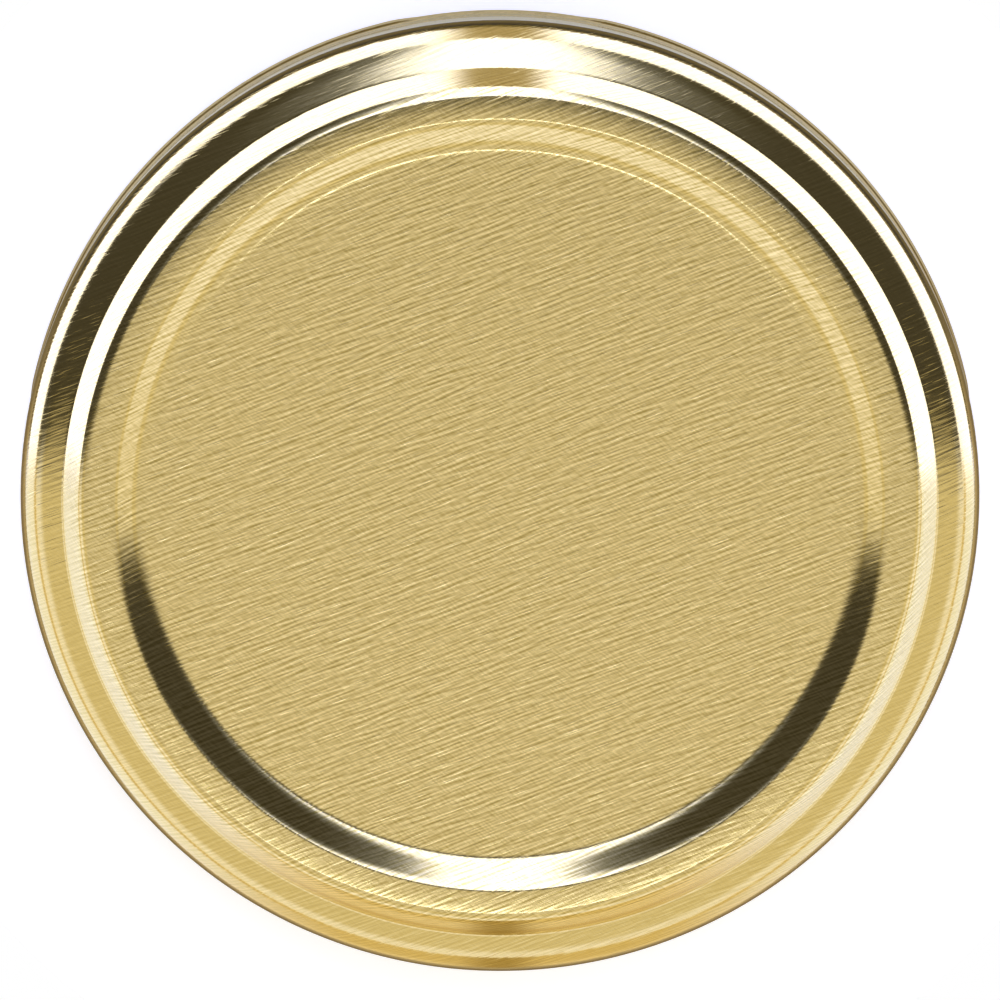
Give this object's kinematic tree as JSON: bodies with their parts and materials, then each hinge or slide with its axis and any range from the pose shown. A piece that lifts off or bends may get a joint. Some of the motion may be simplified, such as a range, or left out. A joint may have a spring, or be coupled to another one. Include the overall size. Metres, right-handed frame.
{
  "type": "twist-off lid",
  "caption": "Gold lacquered metal twist-off lid for a glass jar, with recessed panel, raised crown, stepped ledge, rolled curl with pressed lugs and a flowed-in sealing ring.",
  "frame": {"origin": "on the lid's axis, in the plane that the curl rests on", "axes": "+Z along the lid's axis, from the open side to the panel; +X and +Y each through the middle of a lug"},
  "size_m": [0.051, 0.051, 0.0095],
  "materials": {
    "gold_tinplate": "brushed tinplate under clear gold lacquer",
    "sealing_compound": "smooth satin plastisol"
  },
  "bodies": {
    "root": {"lid_shell": "gold_tinplate", "sealing_ring": "sealing_compound"}
  },
  "joints": []
}
